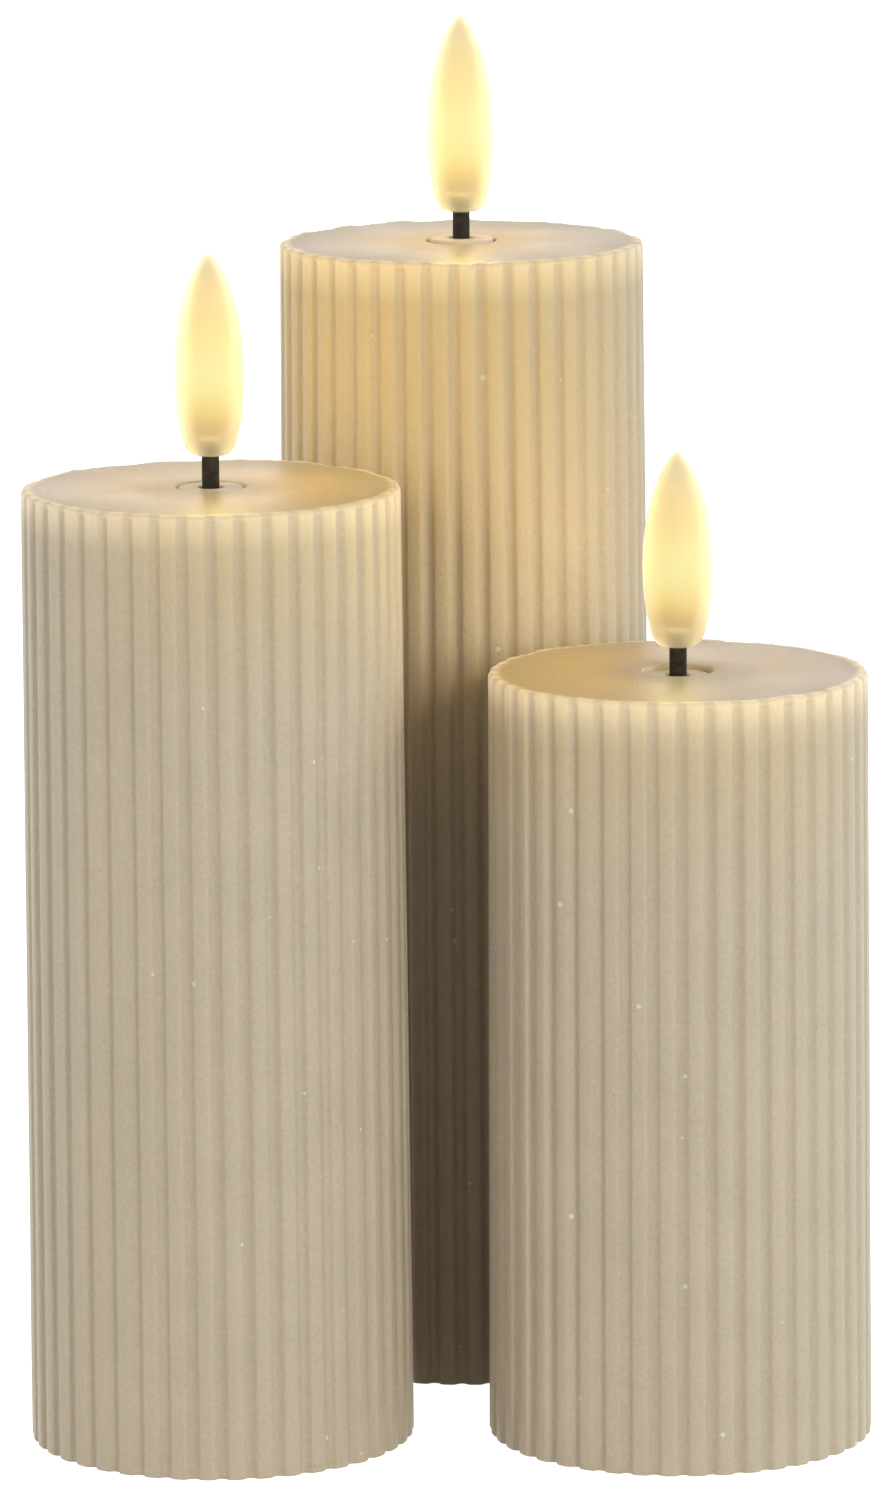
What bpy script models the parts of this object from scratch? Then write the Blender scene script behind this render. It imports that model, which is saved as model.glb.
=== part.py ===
"""A set of three flameless LED pillar candles: fluted wax bodies with a lit flame bulb on a short wick.

Each candle stands by itself. Inside its wax body are a plastic core, a battery housing for two AA cells
with its contacts, a circuit board with a timer, and the lead to the lamp in the flame bulb. From below,
a sliding switch and a hinged battery cover are reached. All sizes are in metres, with +Z up, and the
origin is on the table at the middle of the set.
"""

import math

import bmesh
import bpy
from mathutils import Matrix, Vector

# The set: every body is built alike, and each candle has its own height. The row's depth is from the front
# candles' axes back to the tall candle's, which stands a little to the right of the middle.
TALL_HEIGHT = 0.1528
MEDIUM_HEIGHT = 0.1268
SHORT_HEIGHT = 0.1020
FRONT_GAP = 0.0099
ROW_DEPTH = 0.0476
TALL_OFFSET = 0.0026
CLEARANCE = 0.0003

# How far each wick lifts its flame bulb above the wax, and how deep its collar sits below the wax. The
# tall candle's collar stands proud of it.
TALL_WICK = 0.0040
MEDIUM_WICK = 0.0041
SHORT_WICK = 0.0032
TALL_SINK = -0.0004
MEDIUM_SINK = 0.0001
SHORT_SINK = 0.0006

# Wax body. The core and what it holds set its inside, and its wall at the foot is added to that. Its
# radius lessens upwards by the draft for each unit of height, so that it leaves its mould.
WAX_WALL = 0.0049
WAX_DRAFT = 0.0051
FLUTES = 42
FLUTE_DEPTH = 0.0008
GROOVE_SHARE = 0.40
FLUTE_FADE = 0.0030
RIM_ROUND = 0.0013
WAX_TOP = 0.0050

# Plastic core that the wax is cast on.
CORE_WALL = 0.0012
CORE_MARGIN = 0.0022
LUG_RADIUS = 0.0025
LUG_HEIGHT = 0.0080

# AA cells and the wells that hold them.
CELL_RADIUS = 0.00725
CELL_LENGTH = 0.0505
NUB_RADIUS = 0.00275
NUB_HEIGHT = 0.0013
WELL_WALL = 0.0012
WELL_WEB = 0.0010

# Base plate, with the cover's pocket and hinge.
BASE_RECESS = 0.0010
PLATE_THICKNESS = 0.0035
COVER_THICKNESS = 0.0022
COVER_LEDGE = 0.00135
HINGE_WIDTH = 0.0100
HINGE_RISE = 0.0010
BARREL_RADIUS = 0.0008
PIN_RADIUS = 0.0004
PIN_REACH = 0.0010
TONGUE_THICKNESS = 0.0012
FINGER_RADIUS = 0.0022
FINGER_DEPTH = 0.0008

# Contacts.
SHEET_THICKNESS = 0.0004
BRIDGE_WIDTH = 0.0080
CONTACT_SIDE = 0.0090
CONTACT_RISE = 0.0030
CUP_RADIUS = 0.0022
TAIL_WIDTH = 0.0025
TAIL_SETBACK = 0.0024
COIL_RADIUS = 0.0030
WIRE_RADIUS = 0.00035
COIL_TURNS = 2.25

# Circuit board, its timer chip and its switch.
BOARD_WIDTH = 0.0130
BOARD_THICKNESS = 0.0010
RAIL_WIDTH = 0.0010
RAIL_HEIGHT = 0.0360
CHIP_SIZE = (0.0050, 0.0015, 0.0040)
CHIP_RISE = 0.0300
SWITCH_LENGTH = 0.0110
SWITCH_DEPTH = 0.0046
SWITCH_HEIGHT = 0.0034
SWITCH_WALL = 0.0006
SWITCH_TRAVEL = 0.0020
STEM_LENGTH = 0.0024
STEM_WIDTH = 0.0016
FOOT_OVERHANG = 0.0004
FOOT_THICKNESS = 0.0008
KNOB_INSET = 0.0005

# Screws that hold the base plate to the core's lugs. They stand this far in from the plate's edge, with a
# wall between each head's sink and the hinge pin's hole.
SCREW_EDGE = 0.0030
SCREW_WALL = 0.0006
SHANK_RADIUS = 0.0010
SHANK_LENGTH = 0.0080
HEAD_RADIUS = 0.0020
HEAD_HEIGHT = 0.0011
DRIVE_WIDTH = 0.0005
DRIVE_DEPTH = 0.0005

# Wick, lamp and flame bulb.
WICK_RADIUS = 0.00125
WICK_BORE = 0.00085
WICK_DROP = 0.0110
WICK_ENTRY = 0.0020
WICK_FLANGE = 0.0024
FLANGE_THICKNESS = 0.0008
COLLAR_RADIUS = 0.00435
LAMP_RADIUS = 0.0015
LAMP_RIM = 0.0019
LAMP_RIM_HEIGHT = 0.0008
LAMP_HEIGHT = 0.0050
LEAD_RADIUS = 0.0005
LEAD_BEND = 0.0170
FLAME_RADIUS = 0.0047
FLAME_HEIGHT = 0.0265
FLAME_WALL = 0.0009

# The flame bulb's outline from its foot to its tip: (share of its height, share of its radius).
FLAME_SHARES = [
    (0.00, 0.40),
    (0.04, 0.73),
    (0.10, 0.82),
    (0.16, 0.895),
    (0.26, 0.97),
    (0.385, 1.00),
    (0.48, 0.985),
    (0.57, 0.935),
    (0.67, 0.85),
    (0.77, 0.72),
    (0.875, 0.57),
    (0.955, 0.37),
    (1.00, 0.00),
]

# Places that follow from the sizes above, in each candle's own frame.
WELL_RADIUS = CELL_RADIUS + CLEARANCE
WELL_X = WELL_RADIUS + WELL_WEB / 2
HOUSING_SIDE = WELL_RADIUS + WELL_WALL
CORE_INNER = WELL_X + HOUSING_SIDE + CORE_MARGIN
CORE_OUTER = CORE_INNER + CORE_WALL
WAX_INNER = CORE_OUTER + CLEARANCE
BODY_RADIUS = WAX_INNER + WAX_WALL
PLATE_RADIUS = CORE_INNER - CLEARANCE
PLATE_TOP = BASE_RECESS + PLATE_THICKNESS
COVER_RADIUS = WELL_RADIUS + COVER_LEDGE
COVER_TOP = BASE_RECESS + COVER_THICKNESS
BRIDGE_BOTTOM = COVER_TOP + CLEARANCE
CELL_BOTTOM = BRIDGE_BOTTOM + SHEET_THICKNESS + CLEARANCE
CELL_TOP = CELL_BOTTOM + CELL_LENGTH
SHEET_BOTTOM = CELL_TOP + CLEARANCE + CONTACT_RISE
SHEET_TOP = SHEET_BOTTOM + SHEET_THICKNESS
WELL_TOP = SHEET_TOP + CLEARANCE
HOUSING_TOP = WELL_TOP + WELL_WALL
BOARD_Y = HOUSING_SIDE + CLEARANCE
BOARD_FRONT = BOARD_Y + BOARD_THICKNESS
BOARD_BOTTOM = PLATE_TOP + CLEARANCE
TAIL_X = WELL_X - TAIL_SETBACK
SWITCH_Y = BOARD_FRONT + CLEARANCE + SWITCH_DEPTH / 2
SLOT_LENGTH = STEM_LENGTH + 2 * SWITCH_TRAVEL + 2 * CLEARANCE
SLOT_WIDTH = STEM_WIDTH + 2 * CLEARANCE
FOOT_BOTTOM = BOARD_BOTTOM + SWITCH_WALL + CLEARANCE
PIN_END = HINGE_WIDTH / 2 + CLEARANCE + PIN_REACH
SCREW_X = PIN_END + CLEARANCE + SCREW_WALL + HEAD_RADIUS + CLEARANCE
SCREW_Y = -math.sqrt((PLATE_RADIUS - SCREW_EDGE) ** 2 - SCREW_X**2)
HEAD_BOTTOM = BASE_RECESS + CLEARANCE

# The cover's hinge pin stands so far out from the cover's edge that the edge, as it swings, keeps this gap
# to the lower corner of its pocket's wall.
SWING_GAP = CLEARANCE / 3
HINGE_REACH = (HINGE_RISE**2 + CLEARANCE**2 - SWING_GAP**2) / (2 * (CLEARANCE - SWING_GAP))
HINGE_Y = -(COVER_RADIUS + HINGE_REACH)
HINGE_Z = BASE_RECESS + HINGE_RISE

# Each candle: its name, height, place on the table, the turn of its first groove from the front, its
# wick's rise and its collar's sink.
FRONT_X = BODY_RADIUS + FRONT_GAP / 2
TALL_PLACE = (TALL_OFFSET, ROW_DEPTH / 2)
MEDIUM_PLACE = (-FRONT_X, -ROW_DEPTH / 2)
SHORT_PLACE = (FRONT_X, -ROW_DEPTH / 2)
CANDLES = [
    ("tall", TALL_HEIGHT, TALL_PLACE, math.radians(-2.7), TALL_WICK, TALL_SINK),
    ("medium", MEDIUM_HEIGHT, MEDIUM_PLACE, math.radians(2.1), MEDIUM_WICK, MEDIUM_SINK),
    ("short", SHORT_HEIGHT, SHORT_PLACE, math.radians(-0.8), SHORT_WICK, SHORT_SINK),
]

# How finely round shapes are cut, and how far a cutter runs past the face that it opens.
FINE = 40
MIDDLE = 20
COARSE = 12
BULB_SIDES = 14
PAST = 0.001


def clear_scene():
    for found in list(bpy.data.objects):
        bpy.data.objects.remove(found, do_unlink=True)


def make_material(name, colour, roughness, metallic=0.0, glow=0.0):
    material = bpy.data.materials.new(name)
    material.use_nodes = True
    shader = material.node_tree.nodes["Principled BSDF"]
    shader.inputs["Base Color"].default_value = (*colour, 1)
    shader.inputs["Roughness"].default_value = roughness
    shader.inputs["Metallic"].default_value = metallic
    shader.inputs["Emission Color"].default_value = (*colour, 1)
    shader.inputs["Emission Strength"].default_value = glow
    material.diffuse_color = (*colour, 1)
    return material


def make_materials():
    return {
        "wax": make_material("sand_wax", (0.54, 0.45, 0.32), 0.55),
        "core": make_material("milky_plastic", (0.80, 0.78, 0.72), 0.45),
        "flame": make_material("frosted_bulb", (1.0, 0.80, 0.45), 0.4, glow=1.0),
        "wick": make_material("black_wick", (0.025, 0.02, 0.015), 0.7),
        "collar": make_material("cream_plug", (0.72, 0.62, 0.48), 0.5),
        "lamp": make_material("lamp_resin", (1.0, 0.85, 0.55), 0.15, glow=1.0),
        "lead": make_material("lead_sheath", (0.5, 0.03, 0.02), 0.5),
        "board": make_material("green_board", (0.03, 0.18, 0.07), 0.4),
        "chip": make_material("black_resin", (0.02, 0.02, 0.02), 0.5),
        "base": make_material("ivory_base_plastic", (0.75, 0.70, 0.60), 0.4),
        "knob": make_material("black_knob", (0.02, 0.02, 0.02), 0.35),
        "spring_steel": make_material("nickel_spring_steel", (0.62, 0.60, 0.55), 0.25, metallic=1.0),
        "cell": make_material("plain_cell_jacket", (0.10, 0.16, 0.12), 0.35, metallic=0.3),
        "screw": make_material("zinc_screw", (0.55, 0.55, 0.55), 0.3, metallic=1.0),
    }


def add_object(name, shape, candle, material, location=(0, 0, 0)):
    """Turns a bmesh into an object on the candle. Its vertices are given from the object's own origin."""
    bmesh.ops.recalc_face_normals(shape, faces=shape.faces)
    mesh = bpy.data.meshes.new(name)
    shape.to_mesh(mesh)
    shape.free()
    mesh.shade_smooth()
    mesh.set_sharp_from_angle(angle=math.radians(35))
    made = bpy.data.objects.new(name, mesh)
    bpy.context.scene.collection.objects.link(made)
    made.parent = candle
    made.location = location
    if material:
        made.data.materials.append(material)
    return made


def add_shape(target, shape, operation="DIFFERENCE"):
    """Cuts a bmesh from the target, or joins it on. The helper object stays, hidden from renders."""
    helper = add_object(f"{target.name}.helper", shape, target.parent, None, target.location)
    helper.hide_render = True
    helper.display_type = "WIRE"
    step = target.modifiers.new(operation.lower(), "BOOLEAN")
    step.operation = operation
    step.object = helper


def prism(outline, bottom, top):
    """Extrudes an outline in X and Y from one height to another."""
    shape = bmesh.new()
    low = [shape.verts.new((x, y, bottom)) for x, y in outline]
    high = [shape.verts.new((x, y, top)) for x, y in outline]
    shape.faces.new(low[::-1])
    shape.faces.new(high)
    for index in range(len(outline)):
        after = (index + 1) % len(outline)
        shape.faces.new((low[index], low[after], high[after], high[index]))
    return shape


def box(size, centre):
    shape = bmesh.new()
    place = Matrix.Translation(centre) @ Matrix.Diagonal((*size, 1))
    bmesh.ops.create_cube(shape, size=1, matrix=place)
    return shape


def box_between(low, high):
    size = [end - start for start, end in zip(low, high)]
    centre = [(start + end) / 2 for start, end in zip(low, high)]
    return box(size, centre)


def circle(radius, count, centre=(0, 0), start=0.0, sweep=2 * math.pi):
    """Points round a circle, or evenly along an arc with both of its ends."""
    steps = count if sweep == 2 * math.pi else count - 1
    turns = [start + sweep * index / steps for index in range(count)]
    return [(centre[0] + radius * math.cos(turn), centre[1] + radius * math.sin(turn)) for turn in turns]


def stadium(radius, half_pitch):
    """The outline round two cells side by side: two half circles and the straights between them."""
    right = circle(radius, MIDDLE // 2 + 1, (half_pitch, 0), -math.pi / 2, math.pi)
    left = circle(radius, MIDDLE // 2 + 1, (-half_pitch, 0), math.pi / 2, math.pi)
    return right + left


def turned(profile, count, closed=False):
    """Turns a profile of (radius, height) about Z. A closed profile also joins its end to its start."""
    shape = bmesh.new()
    rings = []
    for radius, height in profile:
        if radius == 0:
            rings.append([shape.verts.new((0, 0, height))])
        else:
            rings.append([shape.verts.new((x, y, height)) for x, y in circle(radius, count)])
    pairs = list(zip(rings, rings[1:]))
    if closed:
        pairs.append((rings[-1], rings[0]))
    for lower, upper in pairs:
        if len(lower) == len(upper) == 1:
            continue
        for index in range(count):
            after = (index + 1) % count
            corners = [lower[index % len(lower)], lower[after % len(lower)]]
            corners += [upper[after % len(upper)], upper[index % len(upper)]]
            shape.faces.new(dict.fromkeys(corners))
    return shape


def cylinder(radius, bottom, top, count, centre=(0, 0)):
    shape = turned([(0, bottom), (radius, bottom), (radius, top), (0, top)], count)
    bmesh.ops.translate(shape, vec=(*centre, 0), verts=shape.verts)
    return shape


def rod_along_x(radius, length, count, centre=(0, 0, 0)):
    shape = cylinder(radius, -length / 2, length / 2, count)
    bmesh.ops.rotate(shape, matrix=Matrix.Rotation(math.pi / 2, 3, "Y"), verts=shape.verts)
    bmesh.ops.translate(shape, vec=centre, verts=shape.verts)
    return shape


def flute_outline(depth, turn):
    """The foot's outline: for each flute one point in the groove and one at each side of the next rib."""
    pitch = 2 * math.pi / FLUTES
    edge = pitch * GROOVE_SHARE / 2
    points = []
    for index in range(FLUTES):
        middle = turn - math.pi / 2 + pitch * index
        for angle, radius in (
            (middle, BODY_RADIUS - depth),
            (middle + edge, BODY_RADIUS),
            (middle + pitch - edge, BODY_RADIUS),
        ):
            points.append((radius * math.cos(angle), radius * math.sin(angle)))
    return points


def wax_pillar(name, candle, material, height, turn):
    """A fluted shell of wax: the flutes run out below a smooth rounded rim, and the foot is open."""
    shape = bmesh.new()
    rim = RIM_ROUND * (1 - math.sqrt(0.5))
    levels = [
        (0, FLUTE_DEPTH, 0),
        (height - FLUTE_FADE, FLUTE_DEPTH, 0),
        (height - RIM_ROUND, 0, 0),
        (height - rim, 0, rim),
        (height, 0, RIM_ROUND),
    ]
    rings = []
    for level, depth, inset in levels:
        scale = 1 - (inset + WAX_DRAFT * level) / BODY_RADIUS
        outline = flute_outline(depth, turn)
        rings.append([shape.verts.new((x * scale, y * scale, level)) for x, y in outline])
    for lower, upper in zip(rings, rings[1:]):
        for index in range(len(lower)):
            after = (index + 1) % len(lower)
            shape.faces.new((lower[index], lower[after], upper[after], upper[index]))
    shape.faces.new(rings[0][::-1])
    shape.faces.new(rings[-1])
    pillar = add_object(name, shape, candle, material)
    room = height - WAX_TOP + CLEARANCE
    hole = COLLAR_RADIUS + CLEARANCE
    profile = [(0, -PAST), (WAX_INNER, -PAST), (WAX_INNER, room), (hole, room), (hole, height + PAST)]
    add_shape(pillar, turned([*profile, (0, height + PAST)], FINE))


def inner_core(name, candle, material, height):
    """The plastic can inside the wax, open below, with two lugs for the base plate's screws."""
    top = height - WAX_TOP
    hole = WICK_RADIUS + CLEARANCE
    profile = [
        (CORE_OUTER, BASE_RECESS),
        (CORE_OUTER, top),
        (hole, top),
        (hole, top - CORE_WALL),
        (CORE_INNER, top - CORE_WALL),
        (CORE_INNER, BASE_RECESS),
    ]
    core = add_object(name, turned(profile, FINE, closed=True), candle, material)
    lug_bottom = PLATE_TOP + CLEARANCE
    lug_top = lug_bottom + LUG_HEIGHT
    reach = CORE_INNER + CORE_WALL / 2
    for side in (-1, 1):
        middle = Vector((side * SCREW_X, SCREW_Y))
        outward = middle.normalized()
        across = Vector((-outward.y, outward.x)) * LUG_RADIUS
        nose = circle(LUG_RADIUS, COARSE // 2 + 1, middle, math.atan2(across.y, across.x), math.pi)
        outline = [*nose, outward * reach - across, outward * reach + across]
        add_shape(core, prism(outline, lug_bottom, lug_top), "UNION")
        bore = SHANK_RADIUS + CLEARANCE
        add_shape(core, cylinder(bore, lug_bottom - PAST, lug_top + PAST, COARSE, middle))


def wick_parts(prefix, candle, materials, height, wick_rise, collar_sink):
    """The wick sleeve stands on the core by its flange. The collar over it fills the hole in the wax."""
    seat = height - WAX_TOP + CLEARANCE
    flange_top = seat + FLANGE_THICKNESS
    sleeve_top = height + wick_rise + WICK_ENTRY
    sleeve = [
        (WICK_BORE, seat - WICK_DROP),
        (WICK_RADIUS, seat - WICK_DROP),
        (WICK_RADIUS, seat),
        (WICK_FLANGE, seat),
        (WICK_FLANGE, flange_top),
        (WICK_RADIUS, flange_top),
        (WICK_RADIUS, sleeve_top),
        (WICK_BORE, sleeve_top),
    ]
    tube = turned(sleeve, COARSE, closed=True)
    add_object(f"{prefix}_wick_sleeve", tube, candle, materials["wick"])
    collar = [
        (WICK_FLANGE + CLEARANCE, seat),
        (COLLAR_RADIUS, seat),
        (COLLAR_RADIUS, height - collar_sink),
        (WICK_RADIUS + CLEARANCE, height - collar_sink),
        (WICK_RADIUS + CLEARANCE, flange_top + CLEARANCE),
        (WICK_FLANGE + CLEARANCE, flange_top + CLEARANCE),
    ]
    add_object(f"{prefix}_wick_collar", turned(collar, MIDDLE, closed=True), candle, materials["collar"])


def flame_parts(prefix, candle, materials, foot):
    """The frosted flame bulb sits on the sleeve by its open foot, over the lamp on the sleeve's end."""
    outer = [(share * FLAME_RADIUS, foot + rise * FLAME_HEIGHT) for rise, share in FLAME_SHARES]
    neck = WICK_RADIUS + CLEARANCE
    inner_scale = 1 - FLAME_WALL / FLAME_RADIUS
    inner_height = FLAME_HEIGHT - 2 * FLAME_WALL
    inner = [
        (max(share * FLAME_RADIUS * inner_scale, neck), foot + FLAME_WALL + rise * inner_height)
        for rise, share in FLAME_SHARES[:-1:2]
    ]
    tip = (0, foot + FLAME_WALL + inner_height)
    bulb = turned([(neck, foot), *outer, tip, *inner[::-1]], BULB_SIDES, closed=True)
    add_object(f"{prefix}_flame_bulb", bulb, candle, materials["flame"])
    seat = foot + WICK_ENTRY + CLEARANCE
    shoulder = seat + LAMP_HEIGHT - LAMP_RADIUS
    lamp = [(0, seat), (LAMP_RIM, seat), (LAMP_RIM, seat + LAMP_RIM_HEIGHT)]
    lamp.append((LAMP_RADIUS, seat + LAMP_RIM_HEIGHT))
    for step in range(4):
        turn = math.pi / 2 * step / 4
        lamp.append((LAMP_RADIUS * math.cos(turn), shoulder + LAMP_RADIUS * math.sin(turn)))
    lamp.append((0, seat + LAMP_HEIGHT))
    add_object(f"{prefix}_led_lamp", turned(lamp, COARSE), candle, materials["lamp"])


def lead_cable(name, candle, material, sleeve_bottom, end):
    """The lamp's lead: up from the board's top edge, over to the middle, and straight up the sleeve."""
    start = HOUSING_TOP + CLEARANCE
    straight = min(start + LEAD_BEND, sleeve_bottom)
    board_middle = BOARD_Y + BOARD_THICKNESS / 2
    count = max(2, round((end - start) / (6 * LEAD_RADIUS)))
    curve = bpy.data.curves.new(name, "CURVE")
    curve.dimensions = "3D"
    curve.bevel_depth = LEAD_RADIUS
    curve.bevel_resolution = 1
    curve.use_fill_caps = True
    line = curve.splines.new("POLY")
    line.points.add(count)
    for index in range(count + 1):
        height = start + (end - start) * index / count
        part = min(1, (height - start) / (straight - start))
        ease = part * part * (3 - 2 * part)
        line.points[index].co = (0, board_middle * (1 - ease), height, 1)
    curve.materials.append(material)
    lead = bpy.data.objects.new(name, curve)
    bpy.context.scene.collection.objects.link(lead)
    lead.parent = candle


def board_parts(prefix, candle, materials):
    """The circuit board slides between the housing's rails. It carries the timer chip and the switch."""
    half = BOARD_WIDTH / 2
    board = box_between((-half, BOARD_Y, BOARD_BOTTOM), (half, BOARD_FRONT, HOUSING_TOP))
    add_object(f"{prefix}_circuit_board", board, candle, materials["board"])
    chip_y = BOARD_FRONT + CLEARANCE + CHIP_SIZE[1] / 2
    chip = box(CHIP_SIZE, (0, chip_y, BOARD_BOTTOM + CHIP_RISE))
    add_object(f"{prefix}_timer_chip", chip, candle, materials["chip"])


def switch_parts(prefix, candle, materials):
    """A slide switch with three places. The knob is caught by its foot and reaches through the plate."""
    foot_length = STEM_LENGTH + 2 * FOOT_OVERHANG
    foot_width = STEM_WIDTH + 2 * FOOT_OVERHANG
    foot_top = FOOT_BOTTOM + FOOT_THICKNESS
    body = box_between(
        (-SWITCH_LENGTH / 2, SWITCH_Y - SWITCH_DEPTH / 2, BOARD_BOTTOM),
        (SWITCH_LENGTH / 2, SWITCH_Y + SWITCH_DEPTH / 2, BOARD_BOTTOM + SWITCH_HEIGHT),
    )
    switch = add_object(f"{prefix}_switch_body", body, candle, materials["chip"])
    room_length = foot_length + 2 * SWITCH_TRAVEL + 2 * CLEARANCE
    room_width = foot_width + 2 * CLEARANCE
    room_bottom = BOARD_BOTTOM + SWITCH_WALL
    room = box_between(
        (-room_length / 2, SWITCH_Y - room_width / 2, room_bottom),
        (room_length / 2, SWITCH_Y + room_width / 2, foot_top + CLEARANCE),
    )
    add_shape(switch, room)
    slot = box((SLOT_LENGTH, SLOT_WIDTH, 2 * SWITCH_WALL), (0, SWITCH_Y, BOARD_BOTTOM))
    slot_top = box((SLOT_LENGTH, SLOT_WIDTH, 2 * CLEARANCE), (0, SWITCH_Y, room_bottom))
    add_shape(switch, slot)
    add_shape(switch, slot_top)

    # The knob's own origin is in the middle of its stem's lower end.
    rise = FOOT_BOTTOM - KNOB_INSET
    knob = add_object(
        f"{prefix}_switch_knob",
        box((STEM_LENGTH, STEM_WIDTH, rise + FOOT_THICKNESS / 2), (0, 0, (rise + FOOT_THICKNESS / 2) / 2)),
        candle,
        materials["knob"],
        (0, SWITCH_Y, KNOB_INSET),
    )
    foot = box((foot_length, foot_width, FOOT_THICKNESS), (0, 0, rise + FOOT_THICKNESS / 2))
    add_shape(knob, foot, "UNION")


def base_housing(name, candle, material):
    """One moulding: the base plate, and the two wells that stand on it, with ribs for the board."""
    plate = cylinder(PLATE_RADIUS, BASE_RECESS, PLATE_TOP, FINE)
    housing = add_object(name, plate, candle, material)
    add_shape(housing, prism(stadium(HOUSING_SIDE, WELL_X), PLATE_TOP - PAST, HOUSING_TOP), "UNION")
    rail_inner = BOARD_WIDTH / 2 + CLEARANCE
    for side in (-1, 1):
        ends = sorted((side * rail_inner, side * (rail_inner + RAIL_WIDTH)))
        low = (ends[0], HOUSING_SIDE - WELL_WALL, PLATE_TOP - PAST)
        high = (ends[1], BOARD_FRONT, PLATE_TOP + RAIL_HEIGHT)
        add_shape(housing, box_between(low, high), "UNION")

    # The cover's pocket is below, then the bridge contact's channel, then the wells.
    add_shape(housing, prism(stadium(COVER_RADIUS + CLEARANCE, WELL_X), -PAST, BRIDGE_BOTTOM))
    channel_x = WELL_X + BRIDGE_WIDTH / 2 + CLEARANCE
    channel_y = BRIDGE_WIDTH / 2 + CLEARANCE
    add_shape(housing, box_between((-channel_x, -channel_y, 0), (channel_x, channel_y, CELL_BOTTOM)))
    for side in (-1, 1):
        add_shape(housing, cylinder(WELL_RADIUS, 0, WELL_TOP, MIDDLE, (side * WELL_X, 0)))
        tail = side * TAIL_X
        half = TAIL_WIDTH / 2 + CLEARANCE
        low = (tail - half, 0, SHEET_BOTTOM - CLEARANCE)
        high = (tail + half, HOUSING_SIDE + PAST, WELL_TOP)
        add_shape(housing, box_between(low, high))

    # The hinge's notch has a hole for the cover's pins at each side.
    notch_x = HINGE_WIDTH / 2 + CLEARANCE
    notch_low = HINGE_Y - HINGE_RISE - 2 * CLEARANCE
    notch_top = HINGE_Z + BARREL_RADIUS + CLEARANCE
    overlap = CLEARANCE / 2
    notch = box_between((-notch_x, notch_low, 0), (notch_x, -COVER_RADIUS - overlap, notch_top))
    add_shape(housing, notch)
    pin_room = 2 * (PIN_END + CLEARANCE)
    add_shape(housing, rod_along_x(PIN_RADIUS + CLEARANCE, pin_room, COARSE, (0, HINGE_Y, HINGE_Z)))

    # A finger hollow at the cover's free edge, the switch's slot, and the screws' holes.
    hollow = cylinder(FINGER_RADIUS, 0, BASE_RECESS + FINGER_DEPTH, MIDDLE, (0, COVER_RADIUS))
    add_shape(housing, hollow)
    slot_size = (SLOT_LENGTH, SLOT_WIDTH, 2 * PLATE_THICKNESS)
    add_shape(housing, box(slot_size, (0, SWITCH_Y, PLATE_TOP - PLATE_THICKNESS / 2)))
    for side in (-1, 1):
        place = (side * SCREW_X, SCREW_Y)
        add_shape(housing, cylinder(SHANK_RADIUS + CLEARANCE, 0, PLATE_TOP + PAST, COARSE, place))
        sink = HEAD_BOTTOM + HEAD_HEIGHT + CLEARANCE
        add_shape(housing, cylinder(HEAD_RADIUS + CLEARANCE, 0, sink, MIDDLE, place))


def battery_cover(name, candle, material):
    """The cover closes the wells from below. Its origin is on its hinge pin's axis."""
    below = BASE_RECESS - HINGE_Z
    above = COVER_TOP - HINGE_Z
    outline = [(x, y - HINGE_Y) for x, y in stadium(COVER_RADIUS, WELL_X)]
    cover = add_object(name, prism(outline, below, above), candle, material, (0, HINGE_Y, HINGE_Z))
    width = HINGE_WIDTH / 2
    edge = -COVER_RADIUS - HINGE_Y
    flat = TONGUE_THICKNESS / 2
    tongue = box_between((-width, 0, -flat), (width, edge + COVER_LEDGE, flat))
    add_shape(cover, tongue, "UNION")
    add_shape(cover, rod_along_x(BARREL_RADIUS, HINGE_WIDTH, COARSE), "UNION")
    add_shape(cover, rod_along_x(PIN_RADIUS, 2 * PIN_END, COARSE), "UNION")
    lip = cylinder(FINGER_RADIUS, below - PAST, below + FINGER_DEPTH, MIDDLE, (0, COVER_RADIUS - HINGE_Y))
    add_shape(cover, lip)


def contact_sheet(side):
    """A square contact at the top of one well, with its tail reaching over to the board."""
    half = CONTACT_SIDE / 2
    middle = side * WELL_X
    tail = side * TAIL_X
    outline = [
        (middle - half, -half),
        (middle + half, -half),
        (middle + half, half),
        (tail + TAIL_WIDTH / 2, half),
        (tail + TAIL_WIDTH / 2, HOUSING_SIDE),
        (tail - TAIL_WIDTH / 2, HOUSING_SIDE),
        (tail - TAIL_WIDTH / 2, half),
        (middle - half, half),
    ]
    return prism(outline, SHEET_BOTTOM, SHEET_TOP)


def coil(centre_x, bottom, top):
    """A coil of round wire standing on one well's axis, with closed ends."""
    shape = bmesh.new()
    steps = round(COIL_TURNS * COARSE)
    sides = 5
    rings = []
    for index in range(steps + 1):
        turn = 2 * math.pi * COIL_TURNS * index / steps
        middle = Vector((COIL_RADIUS * math.cos(turn), COIL_RADIUS * math.sin(turn), 0))
        outward = middle.normalized()
        middle += Vector((centre_x, 0, bottom + (top - bottom) * index / steps))
        ring = []
        for corner in range(sides):
            lean = 2 * math.pi * corner / sides
            offset = outward * math.cos(lean) + Vector((0, 0, math.sin(lean)))
            ring.append(shape.verts.new(middle + offset * WIRE_RADIUS))
        rings.append(ring)
    for lower, upper in zip(rings, rings[1:]):
        for index in range(sides):
            after = (index + 1) % sides
            shape.faces.new((lower[index], lower[after], upper[after], upper[index]))
    shape.faces.new(rings[0][::-1])
    shape.faces.new(rings[-1])
    return shape


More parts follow.
